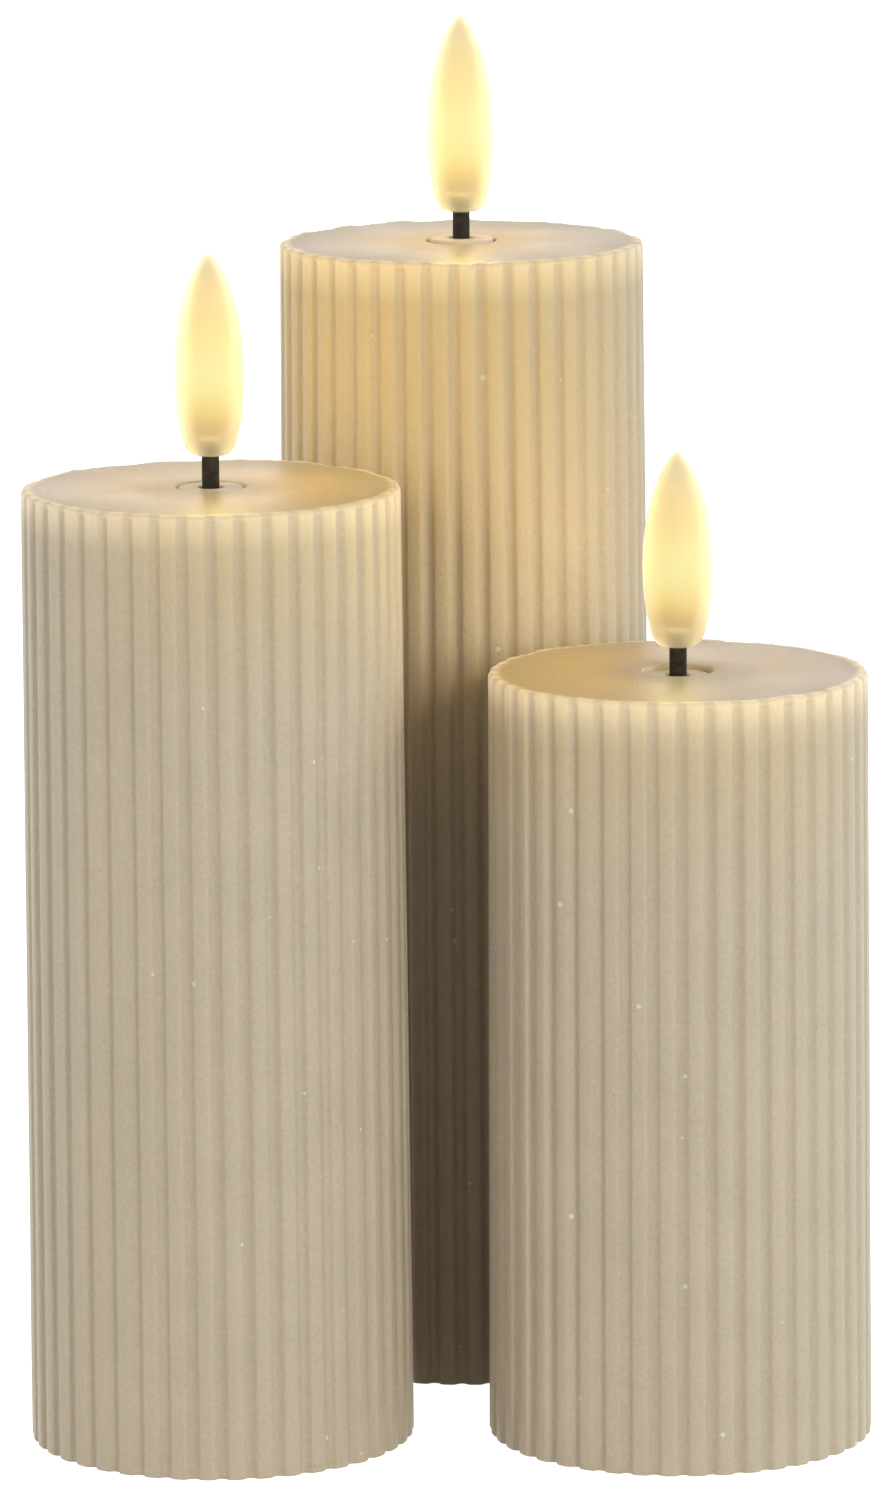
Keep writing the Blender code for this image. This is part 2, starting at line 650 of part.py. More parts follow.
def contact_parts(prefix, candle, materials):
    """The spring contact meets the right cell's flat end, and the plate contact the left cell's nub."""
    steel = materials["spring_steel"]
    reach = CELL_TOP + CLEARANCE
    spring = add_object(f"{prefix}_spring_contact", contact_sheet(1), candle, steel)
    add_shape(spring, coil(WELL_X, reach + WIRE_RADIUS, SHEET_BOTTOM), "UNION")
    plate = add_object(f"{prefix}_plate_contact", contact_sheet(-1), candle, steel)
    cup = cylinder(CUP_RADIUS, reach, SHEET_BOTTOM + SHEET_THICKNESS / 2, COARSE, (-WELL_X, 0))
    add_shape(plate, cup, "UNION")
    half = (WELL_X + BRIDGE_WIDTH / 2, BRIDGE_WIDTH / 2)
    low = (-half[0], -half[1] - HINGE_Y, BRIDGE_BOTTOM - HINGE_Z)
    high = (half[0], half[1] - HINGE_Y, BRIDGE_BOTTOM + SHEET_THICKNESS - HINGE_Z)
    bridge = box_between(low, high)
    add_object(f"{prefix}_bridge_contact", bridge, candle, steel, (0, HINGE_Y, HINGE_Z))


def battery(name, candle, material, side):
    """An AA cell in its well: the left one has its nub up, and the right one has it down."""
    shoulder = CELL_LENGTH - NUB_HEIGHT
    profile = [(0, 0), (CELL_RADIUS, 0), (CELL_RADIUS, shoulder), (NUB_RADIUS, shoulder)]
    shape = turned([*profile, (NUB_RADIUS, CELL_LENGTH), (0, CELL_LENGTH)], MIDDLE)
    foot = CELL_BOTTOM
    if side > 0:
        bmesh.ops.rotate(shape, matrix=Matrix.Rotation(math.pi, 3, "X"), verts=shape.verts)
        foot = CELL_TOP
    add_object(name, shape, candle, material, (side * WELL_X, 0, foot))


def base_screw(name, candle, material, side):
    """A pan-head screw with a cross recess, up through the base plate into the core's lug."""
    profile = [
        (0, HEAD_BOTTOM),
        (HEAD_RADIUS, HEAD_BOTTOM),
        (HEAD_RADIUS, HEAD_BOTTOM + HEAD_HEIGHT),
        (SHANK_RADIUS, HEAD_BOTTOM + HEAD_HEIGHT),
        (SHANK_RADIUS, HEAD_BOTTOM + HEAD_HEIGHT + SHANK_LENGTH),
        (0, HEAD_BOTTOM + HEAD_HEIGHT + SHANK_LENGTH),
    ]
    screw = add_object(name, turned(profile, COARSE), candle, material, (side * SCREW_X, SCREW_Y, 0))
    arm = HEAD_RADIUS * 1.2
    depth = 2 * DRIVE_DEPTH
    add_shape(screw, box((arm, DRIVE_WIDTH, depth), (0, 0, HEAD_BOTTOM)))
    add_shape(screw, box((DRIVE_WIDTH, arm, depth), (0, 0, HEAD_BOTTOM)))


def build_candle(prefix, height, place, turn, wick_rise, collar_sink, materials):
    candle = bpy.data.objects.new(prefix, None)
    bpy.context.scene.collection.objects.link(candle)
    candle.location = (*place, 0)
    foot = height + wick_rise
    wax_pillar(f"{prefix}_wax_pillar", candle, materials["wax"], height, turn)
    inner_core(f"{prefix}_inner_core", candle, materials["core"], height)
    wick_parts(prefix, candle, materials, height, wick_rise, collar_sink)
    flame_parts(prefix, candle, materials, foot)
    sleeve_bottom = height - WAX_TOP + CLEARANCE - WICK_DROP
    lead_cable(f"{prefix}_lead_cable", candle, materials["lead"], sleeve_bottom, foot + WICK_ENTRY)
    board_parts(prefix, candle, materials)
    switch_parts(prefix, candle, materials)
    base_housing(f"{prefix}_base_housing", candle, materials["base"])
    battery_cover(f"{prefix}_battery_cover", candle, materials["base"])
    contact_parts(prefix, candle, materials)
    for side, word in ((-1, "left"), (1, "right")):
        battery(f"{prefix}_battery_{word}", candle, materials["cell"], side)
        base_screw(f"{prefix}_base_screw_{word}", candle, materials["screw"], side)


def build_set():
    clear_scene()
    materials = make_materials()
    for prefix, height, place, turn, wick_rise, collar_sink in CANDLES:
        build_candle(prefix, height, place, turn, wick_rise, collar_sink, materials)


build_set()
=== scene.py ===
"""A set of three flameless LED pillar candles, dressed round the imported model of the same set.

Each candle is put together in the order of the sections: wax body, plug, wick, flame bulb, the works
inside, base and cover, and the switch. The studio comes last. Sizes are in metres.
"""

import math

import bmesh
import bpy
from mathutils import Matrix, Vector


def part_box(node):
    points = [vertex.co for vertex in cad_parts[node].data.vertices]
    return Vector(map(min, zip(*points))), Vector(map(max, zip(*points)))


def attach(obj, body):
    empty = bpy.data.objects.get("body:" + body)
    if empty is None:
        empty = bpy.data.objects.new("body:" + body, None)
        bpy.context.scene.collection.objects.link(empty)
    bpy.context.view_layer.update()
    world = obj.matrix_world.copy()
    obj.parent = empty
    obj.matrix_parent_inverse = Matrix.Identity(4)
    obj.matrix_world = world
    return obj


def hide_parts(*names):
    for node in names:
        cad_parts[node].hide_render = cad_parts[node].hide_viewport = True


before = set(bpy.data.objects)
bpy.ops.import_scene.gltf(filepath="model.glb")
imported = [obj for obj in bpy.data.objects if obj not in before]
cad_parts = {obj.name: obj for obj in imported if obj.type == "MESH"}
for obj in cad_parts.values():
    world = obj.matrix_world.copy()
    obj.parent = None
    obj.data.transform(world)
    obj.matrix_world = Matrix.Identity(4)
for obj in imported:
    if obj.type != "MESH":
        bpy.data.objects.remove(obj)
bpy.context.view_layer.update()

# The wax bodies. Each is a pillar of sand-coloured paraffin wax, cast round a plastic core in a fluted
# mould and left open at the foot. The flutes run down to the foot, and fade out at a rounded, slightly
# ragged rim.
candles = ("tall", "medium", "short")
axis_of = {}
for candle in candles:
    core_low, core_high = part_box(f"{candle}_inner_core")
    axis_of[candle] = Vector(((core_low.x + core_high.x) / 2, (core_low.y + core_high.y) / 2, 0))

flute_count = 42
points_per_flute = 18
foot_radius = 0.02536
draft = 0.0051
groove_depth = 0.00040
groove_floor = 0.13
groove_reach = 0.26
crown_fall = 0.00034
flute_fade = 0.0014
rim_round = 0.0008
plug_hole = 0.00465
core_room = 0.0205
top_thickness = 0.0047
first_groove = {"tall": -2.7, "medium": 1.1, "short": -0.8}

# Painted lamp light on the wax, an emission that stands for the flames' light falling on it and shining
# through its rims: how far down it reaches, its strength, and the side on which it is strongest, in degrees
# round from the front. The tops and the rims have strengths of their own.
glow_reach = {"tall": 0.078, "medium": 0.030, "short": 0.030}
glow_share = {"tall": 1.0, "medium": 0.70, "short": 0.55}
glow_side = {"tall": -16.0, "medium": 45.0, "short": -10.0}
top_share = {"tall": 0.14, "medium": 0.8, "short": 1.0}
top_side = {"tall": 0.0, "medium": 75.0, "short": -80.0}
rim_share = {"tall": 0.44, "medium": 0.43, "short": 0.54}
body_glow = (0.095, 0.053, 0.006, 1)
rim_glow = (0.72, 0.57, 0.34, 1)
no_glow = (0, 0, 0, 1)

# The colours of the wax itself, with a painted shade tone for its pits and a painted golden tint for the
# lamps' light. The tall candle's wax is painted a little darker, as painted shade for its place behind the
# front pair.
painted_shade = {"tall": 1.0, "medium": 0.0, "short": 0.0}
painted_shade_factor = (0.92, 0.92, 0.91)
wax_colour = (0.545, 0.455, 0.325, 1)
wax_light = (0.80, 0.76, 0.68, 1)
pit_shade_tone = (0.30, 0.23, 0.15, 1)
painted_lamp_tint = (0.55, 0.43, 0.21, 1)


def put(tree, kind, values=None, **settings):
    """Adds a node. Each value goes to the input of that name or number, and a socket is linked to it."""
    node = tree.nodes.new(kind)
    for name, setting in settings.items():
        setattr(node, name, setting)
    for key, value in (values or {}).items():
        if isinstance(value, bpy.types.NodeSocket):
            tree.links.new(value, node.inputs[key])
        else:
            node.inputs[key].default_value = value
    return node


def calc(tree, operation, first, second=0.0, third=0.0):
    """Adds a sum of that kind, and returns its result."""
    values = {0: first, 1: second, 2: third}
    return put(tree, "ShaderNodeMath", values, operation=operation).outputs[0]


def ease(tree, value, start, end, low=0.0, high=1.0):
    """Goes smoothly from low, at the start, to high, at the end."""
    values = {"Value": value, "From Min": start, "From Max": end, "To Min": low, "To Max": high}
    return put(tree, "ShaderNodeMapRange", values, interpolation_type="SMOOTHSTEP").outputs[0]


def add_socket(tree, name, kind, in_out="INPUT"):
    return tree.interface.new_socket(name=name, in_out=in_out, socket_type=f"NodeSocket{kind}")


def add_object(name, data):
    """Puts a new object in the scene, at the origin."""
    piece = bpy.data.objects.new(name, data)
    bpy.context.scene.collection.objects.link(piece)
    return piece


def take_mesh(holder):
    """Takes the finished mesh of an object, and removes the object."""
    evaluated = holder.evaluated_get(bpy.context.evaluated_depsgraph_get())
    mesh = bpy.data.meshes.new_from_object(evaluated)
    bpy.data.objects.remove(holder)
    return mesh


def grow(name, mesh, tree, values):
    """Runs a geometry tree on a mesh, and returns a new object with its plain result."""
    holder = add_object(f"{name}_pattern", mesh)
    modifier = holder.modifiers.new("grow", "NODES")
    modifier.node_group = tree
    for item in tree.interface.items_tree:
        if item.name in values:
            modifier[item.identifier] = values[item.name]
    result = take_mesh(holder)
    result.name = name
    return add_object(name, result)


# A grain that every finish here shares: a fine and a coarse noise, each from 0 to 1.
grain = bpy.data.node_groups.new("grain", "ShaderNodeTree")
add_socket(grain, "Vector", "Vector")
add_socket(grain, "Fine Scale", "Float")
add_socket(grain, "Coarse Scale", "Float")
add_socket(grain, "Fine", "Float", "OUTPUT")
add_socket(grain, "Coarse", "Float", "OUTPUT")
grain_in = put(grain, "NodeGroupInput")
grain_out = put(grain, "NodeGroupOutput")
for size in ("Fine", "Coarse"):
    noise = put(
        grain,
        "ShaderNodeTexNoise",
        {"Vector": grain_in.outputs["Vector"], "Scale": grain_in.outputs[f"{size} Scale"], "Detail": 3.0},
    )
    grain.links.new(ease(grain, noise.outputs["Fac"], 0.25, 0.75), grain_out.inputs[size])

# Sparse specks: a few cells of a pattern hold one small round spot each.
specks = bpy.data.node_groups.new("specks", "ShaderNodeTree")
add_socket(specks, "Vector", "Vector")
add_socket(specks, "Cells", "Float")
add_socket(specks, "Size", "Float")
add_socket(specks, "Share", "Float")
add_socket(specks, "Mask", "Float", "OUTPUT")
specks_in = put(specks, "NodeGroupInput")
specks_out = put(specks, "NodeGroupOutput")
cells = put(
    specks,
    "ShaderNodeTexVoronoi",
    {"Vector": specks_in.outputs["Vector"], "Scale": specks_in.outputs["Cells"]},
)
cell_luck = put(specks, "ShaderNodeSeparateColor", {"Color": cells.outputs["Color"]})
chosen = calc(specks, "LESS_THAN", cell_luck.outputs["Red"], specks_in.outputs["Share"])
spot_size = calc(specks, "MULTIPLY_ADD", cell_luck.outputs["Green"], specks_in.outputs["Size"], 0.02)
spot = calc(specks, "LESS_THAN", cells.outputs["Distance"], spot_size)
specks.links.new(calc(specks, "MULTIPLY", chosen, spot), specks_out.inputs["Mask"])


def place_grain(tree, place, fine, coarse):
    """The shared grain at two scales. Its outputs are named Fine and Coarse."""
    values = {"Vector": place, "Fine Scale": fine, "Coarse Scale": coarse}
    return put(tree, "ShaderNodeGroup", values, node_tree=grain).outputs


def place_specks(tree, place, cell_scale, size, part):
    """The mask of the sparse specks, in that part of the cells."""
    values = {"Vector": place, "Cells": cell_scale, "Size": size, "Share": part}
    return put(tree, "ShaderNodeGroup", values, node_tree=specks).outputs["Mask"]


def start_finish(name, **sockets):
    """A material with its Principled shader set, and the object coordinates that its patterns read."""
    material = bpy.data.materials.new(name)
    material.use_nodes = True
    tree = material.node_tree
    shader = tree.nodes["Principled BSDF"]
    for socket, value in sockets.items():
        shader.inputs[socket.replace("_", " ")].default_value = value
    place = put(tree, "ShaderNodeTexCoord").outputs["Object"]
    return material, tree, shader, place


def blend_colour(tree, factor, first, second):
    values = {"Factor": factor, "A": first, "B": second}
    node = put(tree, "ShaderNodeMix", data_type="RGBA")
    for key, value in values.items():
        socket = next(s for s in node.inputs if s.name == key and s.enabled)
        if isinstance(value, bpy.types.NodeSocket):
            tree.links.new(value, socket)
        else:
            socket.default_value = value
    return next(s for s in node.outputs if s.enabled)


def blend_part(tree, mask, part, first, second):
    """Blends the second colour in by a part of the mask."""
    return blend_colour(tree, calc(tree, "MULTIPLY", mask, part), first, second)


def read_share(tree, name):
    """A share, from 0 to 1, that is stored on the mesh."""
    return put(tree, "ShaderNodeAttribute", attribute_name=name).outputs["Fac"]


def add_bump(tree, shader, height, strength, distance):
    bump = put(tree, "ShaderNodeBump", {"Height": height, "Strength": strength, "Distance": distance})
    tree.links.new(bump.outputs["Normal"], shader.inputs["Normal"])


wax, wax_tree, wax_shader, wax_place = start_finish("sand_wax", IOR=1.44, Subsurface_Weight=0.22)
wax_shader.inputs["Emission Strength"].default_value = 1.0
wax_shader.inputs["Subsurface Radius"].default_value = (1.0, 0.62, 0.34)
wax_shader.inputs["Subsurface Scale"].default_value = 0.0022
wax_shader.inputs["Specular IOR Level"].default_value = 0.34
wax_grain = place_grain(wax_tree, wax_place, 1900.0, 85.0)
wax_specks = place_specks(wax_tree, wax_place, 210.0, 0.06, 0.6)
# Painted shade: tiny pits are painted as small dark spots.
pit_shade_mask = place_specks(wax_tree, wax_place, 330.0, 0.05, 0.12)
painted_lamp_light = read_share(wax_tree, "painted_lamp_light")
rim_light = read_share(wax_tree, "rim_light")
polish = read_share(wax_tree, "polish")
painted_shade_mask = read_share(wax_tree, "painted_shade")
deeper = tuple(0.97 * part for part in wax_colour[:3]) + (1,)
paler = tuple(1.03 * part for part in wax_colour[:3]) + (1,)
mottled = blend_colour(wax_tree, wax_grain["Coarse"], deeper, paler)
sandy = blend_part(wax_tree, wax_grain["Fine"], 0.16, mottled, wax_light)
pit_shaded = blend_part(wax_tree, pit_shade_mask, 0.5, sandy, pit_shade_tone)
speckled = blend_part(wax_tree, wax_specks, 0.8, pit_shaded, wax_light)
# Painted lamp light in the base colour: the wax is tinted golden where the flames' light falls on it.
lamp_tinted_wax = blend_part(wax_tree, painted_lamp_light, 0.60, speckled, painted_lamp_tint)
# Painted shade: the tall candle's wax is made darker, for the shade it gets behind the front pair.
shaded_wax = put(wax_tree, "ShaderNodeVectorMath", {0: lamp_tinted_wax, 1: painted_shade_factor}, operation="MULTIPLY")
wax_with_painted_light = blend_colour(wax_tree, painted_shade_mask, lamp_tinted_wax, shaded_wax.outputs[0])
wax_tree.links.new(wax_with_painted_light, wax_shader.inputs["Base Color"])
wax_rough = ease(wax_tree, wax_grain["Coarse"], 0.0, 1.0, 0.40, 0.50)
wax_rough = calc(wax_tree, "MULTIPLY_ADD", polish, -0.10, wax_rough)
wax_tree.links.new(wax_rough, wax_shader.inputs["Roughness"])
# Painted lamp light: the wax glows where the flames' light falls on the body, and brighter at the rims,
# where it stands for light through the wax.
painted_body_glow = blend_colour(wax_tree, painted_lamp_light, no_glow, body_glow)
painted_rim_glow = blend_colour(wax_tree, rim_light, painted_body_glow, rim_glow)
wax_tree.links.new(painted_rim_glow, wax_shader.inputs["Emission Color"])
add_bump(wax_tree, wax_shader, wax_grain["Fine"], 0.5, 0.00008)

# The tree lays a grid over the body. Its columns go round the axis, and each row follows one point of the
# profile that the base mesh holds: its radius, its share of the flutes' depth, and its height. Columns in a
# groove are drawn in towards the axis, and each rib has a crown.
fluting = bpy.data.node_groups.new("fluted_wax", "GeometryNodeTree")
add_socket(fluting, "Profile", "Geometry")
for label in ("Flutes", "Around"):
    add_socket(fluting, label, "Int")
for label in ("Turn", "Depth", "Floor", "Reach", "Fall", "Height", "Seed"):
    add_socket(fluting, label, "Float")
for label in ("Glow Reach", "Glow Share", "Glow Side"):
    add_socket(fluting, label, "Float")
for label in ("Top Share", "Top Side", "Rim Share", "Painted Shade"):
    add_socket(fluting, label, "Float")
add_socket(fluting, "Axis", "Vector")
add_socket(fluting, "Wax", "Material")
add_socket(fluting, "Body", "Geometry", "OUTPUT")
given = put(fluting, "NodeGroupInput").outputs
profile_size = put(fluting, "GeometryNodeAttributeDomainSize", {"Geometry": given["Profile"]})
rows = profile_size.outputs["Point Count"]
grid = put(
    fluting,
    "GeometryNodeMeshGrid",
    {
        "Size X": 1.0,
        "Size Y": 1.0,
        "Vertices X": calc(fluting, "ADD", given["Around"], 1),
        "Vertices Y": calc(fluting, "ADD", rows, 1),
    },
)
spot_at = put(fluting, "ShaderNodeSeparateXYZ", {0: put(fluting, "GeometryNodeInputPosition").outputs[0]})
across = calc(fluting, "ADD", spot_at.outputs["X"], 0.5)
up_grid = calc(fluting, "MULTIPLY", calc(fluting, "ADD", spot_at.outputs["Y"], 0.5), rows)
row = calc(fluting, "ROUND", up_grid)
profile_at = put(
    fluting,
    "GeometryNodeSampleIndex",
    {
        "Geometry": given["Profile"],
        "Value": put(fluting, "GeometryNodeInputPosition").outputs[0],
        "Index": calc(fluting, "ADD", calc(fluting, "FLOORED_MODULO", row, rows), 0.1),
    },
    data_type="FLOAT_VECTOR",
)
on_profile = put(fluting, "ShaderNodeSeparateXYZ", {0: profile_at.outputs["Value"]})
radius, share, height = (on_profile.outputs[part] for part in "XYZ")
phase = calc(fluting, "PINGPONG", calc(fluting, "MULTIPLY", across, given["Flutes"]), 0.5)
sunk = ease(fluting, phase, given["Floor"], given["Reach"], 1.0, 0.0)
from_crown = calc(fluting, "SUBTRACT", 1.0, calc(fluting, "MULTIPLY", phase, 2.0))
fall = calc(fluting, "MULTIPLY", calc(fluting, "POWER", from_crown, 2.0), given["Fall"])
drawn_in = calc(fluting, "MULTIPLY", calc(fluting, "MULTIPLY_ADD", sunk, given["Depth"], fall), share)
below_rim = calc(fluting, "SUBTRACT", given["Height"], height)
outside = ease(fluting, share, 0.0, 0.1)
from_side = calc(fluting, "SUBTRACT", given["Turn"], math.pi / 2)
turn = calc(fluting, "MULTIPLY_ADD", across, math.tau, from_side)


def round_axis(tree, distance, level):
    part_x = calc(tree, "MULTIPLY", distance, calc(tree, "COSINE", turn))
    part_y = calc(tree, "MULTIPLY", distance, calc(tree, "SINE", turn))
    return put(tree, "ShaderNodeCombineXYZ", {"X": part_x, "Y": part_y, "Z": level}).outputs[0]


def wobble(tree, place, scale, amount, detail=1.0):
    """A noise between plus and minus the amount."""
    values = {"Vector": place, "W": given["Seed"], "Scale": scale, "Detail": detail}
    noise = put(tree, "ShaderNodeTexNoise", values, noise_dimensions="4D").outputs["Fac"]
    return calc(tree, "MULTIPLY", calc(tree, "SUBTRACT", noise, 0.5), 2 * amount)


def lit_side(side, start, end):
    """The share of the light that falls here, by how squarely this place faces that side."""
    facing = calc(fluting, "COSINE", calc(fluting, "SUBTRACT", turn, side))
    return ease(fluting, facing, start, end)


# The rim is ragged over a short way, with small nicks, and the top dips unevenly. The wall sways a little,
# and is set back so that it stays within the model's.
wear_reach = 0.0016
nick_scale = 620.0
nick_depth = 0.00062
nick_spare = 0.00010
wave_scale = 240.0
wave_depth = 0.00034
sway_scale = 26.0
sway_depth = 0.00008
dip_scale = 110.0
dip_depth = 0.00012
dip_middle = 0.00013
set_back = 0.00004
plain_place = round_axis(fluting, radius, height)
near_rim = calc(fluting, "MULTIPLY", ease(fluting, below_rim, wear_reach, 0.0), outside)
nick = wobble(fluting, plain_place, nick_scale, nick_depth, 2.0)
nick = calc(fluting, "MINIMUM", calc(fluting, "ADD", nick, nick_spare), 0.0)
ragged = calc(fluting, "ADD", nick, wobble(fluting, plain_place, wave_scale, wave_depth))
ragged = calc(fluting, "MULTIPLY", ragged, near_rim)
sway = calc(fluting, "MULTIPLY", wobble(fluting, plain_place, sway_scale, sway_depth), outside)
off_plug = ease(fluting, radius, plug_hole, 0.012)
on_top = calc(fluting, "MULTIPLY", ease(fluting, below_rim, 0.0003, 0.0), off_plug)
dip = calc(fluting, "SUBTRACT", wobble(fluting, plain_place, dip_scale, dip_depth, 2.0), dip_middle)
dip = calc(fluting, "MULTIPLY", dip, on_top)
inward = calc(fluting, "ADD", calc(fluting, "SUBTRACT", radius, drawn_in), sway)
inward = calc(fluting, "SUBTRACT", inward, set_back)
inward = calc(fluting, "ADD", inward, calc(fluting, "MULTIPLY", ragged, 0.5))
upward = calc(fluting, "MINIMUM", calc(fluting, "ADD", ragged, dip), 0.0)
upward = calc(fluting, "ADD", height, upward)

# The painted lamp light fades downwards, and is stronger on the ribs and on the side that faces the other
# lamps.
on_rib = calc(fluting, "MULTIPLY", calc(fluting, "MULTIPLY_ADD", sunk, -0.45, 1.10), outside)
painted_light_share = ease(fluting, below_rim, 0.0, given["Glow Reach"], 1.0, 0.0)
painted_light_share = calc(fluting, "MULTIPLY", painted_light_share, given["Glow Share"])
painted_light_share = calc(fluting, "MULTIPLY", painted_light_share, lit_side(given["Glow Side"], -0.3, 0.95))
painted_light_share = calc(fluting, "MULTIPLY", painted_light_share, on_rib)
top_painted_light = calc(fluting, "MULTIPLY", lit_side(given["Top Side"], -0.4, 0.9), given["Top Share"])
painted_light_share = calc(fluting, "MULTIPLY_ADD", top_painted_light, on_top, painted_light_share)
# Painted rim glow: the rims are painted bright, for the flames' light shining through the wax there.
at_rim = ease(fluting, below_rim, -0.0010, 0.0062, 1.0, 0.0)
at_rim = calc(fluting, "MULTIPLY", at_rim, given["Rim Share"])
at_rim = calc(fluting, "MULTIPLY", at_rim, on_rib)
marked = grid.outputs["Mesh"]
shares = {"painted_lamp_light": painted_light_share, "rim_light": at_rim, "polish": on_top, "painted_shade": given["Painted Shade"]}
for label, amount in shares.items():
    values = {"Geometry": marked, "Name": label, "Value": amount}
    marked = put(fluting, "GeometryNodeStoreNamedAttribute", values).outputs[0]
values = {0: round_axis(fluting, inward, upward), 1: given["Axis"]}
new_place = put(fluting, "ShaderNodeVectorMath", values, operation="ADD").outputs[0]
moved = put(fluting, "GeometryNodeSetPosition", {"Geometry": marked, "Position": new_place})
joined = put(fluting, "GeometryNodeMergeByDistance", {"Geometry": moved.outputs[0], "Distance": 0.000001})
smooth = put(fluting, "GeometryNodeSetShadeSmooth", {"Geometry": joined.outputs[0]})
real = put(fluting, "GeometryNodeRealizeInstances", {"Geometry": smooth.outputs[0]})
waxed = put(fluting, "GeometryNodeSetMaterial", {"Geometry": real.outputs[0], "Material": given["Wax"]})
put(fluting, "NodeGroupOutput", {"Body": waxed.outputs[0]})


def arc(centre, size, start, end, steps):
    """Points of (radius, height) along an arc, from one angle in degrees to another."""
    angles = [math.radians(start + (end - start) * step / steps) for step in range(steps + 1)]
    return [(centre[0] + size * math.cos(angle), centre[1] + size * math.sin(angle)) for angle in angles]


def wax_profile(top):
    """The body's profile from the foot's outer edge, up and over the rim, and down inside."""
    foot_round = 0.0004
    share_at_rim = 0.60
    share_step = 0.06
    rim_start = top - rim_round
    fade_start = top - flute_fade
    foot = arc((foot_radius - foot_round, foot_round), foot_round, -90, 0, 3)
    profile = [(distance, 1, level) for distance, level in foot]
    wall_rows = 36
    for row in range(1, wall_rows):
        level = foot_round + (fade_start - foot_round) * row / wall_rows
        profile.append((foot_radius - draft * level, 1, level))
    fade_rows = 8
    for row in range(fade_rows):
        level = fade_start + (rim_start - fade_start) * row / fade_rows
        flute_share = 1 - (1 - share_at_rim) * (row / fade_rows) ** 2
        profile.append((foot_radius - draft * level, flute_share, level))
    edge = foot_radius - draft * top - rim_round
    rim = arc((edge, rim_start), rim_round, 0, 90, 7)
    for step, (distance, level) in enumerate(rim):
        profile.append((distance, share_at_rim - share_step * step, level))
    hole_round = 0.00025
    hole_edge = plug_hole + hole_round
    ceiling = top - top_thickness
    top_rings = 20
    inside = [(edge + (hole_edge - edge) * step / top_rings, top) for step in range(1, top_rings)]
    inside += arc((hole_edge, top - hole_round), hole_round, 90, 180, 3)
    inside += [(plug_hole, ceiling), (core_room, ceiling)]
    inside += [(core_room, (ceiling + foot_round) / 2), (core_room, 0)]
    return profile + [(distance, 0, level) for distance, level in inside]


for number, candle in enumerate(candles):
    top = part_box(f"{candle}_wax_pillar")[1].z
    line = bpy.data.meshes.new("wax_profile")
    line.from_pydata(wax_profile(top), [], [])
    body_values = {
        "Flutes": flute_count,
        "Around": flute_count * points_per_flute,
        "Turn": math.radians(first_groove[candle]),
        "Depth": groove_depth,
        "Floor": groove_floor,
        "Reach": groove_reach,
        "Fall": crown_fall,
        "Height": top,
        "Seed": 3.0 + number,
        "Glow Reach": glow_reach[candle],
        "Glow Share": glow_share[candle],
        "Glow Side": math.radians(glow_side[candle] - 90),
        "Top Share": top_share[candle],
        "Top Side": math.radians(top_side[candle] - 90),
        "Rim Share": rim_share[candle],
        "Painted Shade": painted_shade[candle],
        "Axis": axis_of[candle],
        "Wax": wax,
    }
    wax_body = grow(f"{candle}_fluted_wax", line, fluting, body_values)
    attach(wax_body, f"{candle}_candle")
    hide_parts(f"{candle}_wax_pillar")

# The plugs. A round cream plug fills the hole in each top, over the foot of the wick. It is moulded, and it
# stands a little proud of the tall candle's wax and a little below the others'.
plug_dark = (0.66, 0.57, 0.43, 1)
plug_pale = (0.76, 0.68, 0.54, 1)
plug_finish, plug_tree, plug_shader, plug_place = start_finish(
    "cream_plug", Roughness=0.5, Subsurface_Weight=0.15
)
plug_shader.inputs["Subsurface Scale"].default_value = 0.0015
plug_grain = place_grain(plug_tree, plug_place, 2600.0, 300.0)
plug_tone = blend_colour(plug_tree, plug_grain["Coarse"], plug_dark, plug_pale)
plug_tree.links.new(plug_tone, plug_shader.inputs["Base Color"])
add_bump(plug_tree, plug_shader, plug_grain["Fine"], 0.3, 0.00005)


def lathe(name, profile, axis, sides, material):
    """Turns a closed profile of (radius, height) about an upright axis, with its faces outwards."""
    shape = bmesh.new()
    rings = []
    for distance, level in profile:
        if distance == 0:
            rings.append([shape.verts.new((0, 0, level))])
            continue
        around = [math.tau * step / sides for step in range(sides)]
        points = [(distance * math.cos(angle), distance * math.sin(angle), level) for angle in around]
        rings.append([shape.verts.new(point) for point in points])
    for lower, upper in zip(rings, [*rings[1:], rings[0]]):
        if len(lower) == len(upper) == 1:
            continue
        for step in range(sides):
            after = (step + 1) % sides
            corners = [lower[step % len(lower)], lower[after % len(lower)]]
            corners += [upper[after % len(upper)], upper[step % len(upper)]]
            shape.faces.new(dict.fromkeys(corners))
    bmesh.ops.translate(shape, vec=axis, verts=shape.verts)
    bmesh.ops.recalc_face_normals(shape, faces=shape.faces)
    mesh = bpy.data.meshes.new(name)
    shape.to_mesh(mesh)
    shape.free()
    mesh.shade_smooth()
    mesh.set_sharp_from_angle(angle=math.radians(40))
    mesh.materials.append(material)
    return add_object(name, mesh)


plug_bore = 0.00155
flange_room = 0.0027
flange_room_height = 0.0011
soft = 0.0004
for candle in candles:
    plug_low, plug_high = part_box(f"{candle}_wick_collar")
    plug_radius = (plug_high.x - plug_low.x) / 2
    flange_top = plug_low.z + flange_room_height
    plug_profile = [(flange_room, plug_low.z), (plug_radius, plug_low.z)]
    plug_profile += arc((plug_radius - soft, plug_high.z - soft), soft, 0, 90, 4)
    plug_profile += arc((plug_bore + soft, plug_high.z - soft), soft, 90, 180, 4)
    plug_profile += [(plug_bore, flange_top), (flange_room, flange_top)]
    plug = lathe(f"{candle}_plug", plug_profile, axis_of[candle], 96, plug_finish)
    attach(plug, f"{candle}_candle")
    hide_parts(f"{candle}_wick_collar")

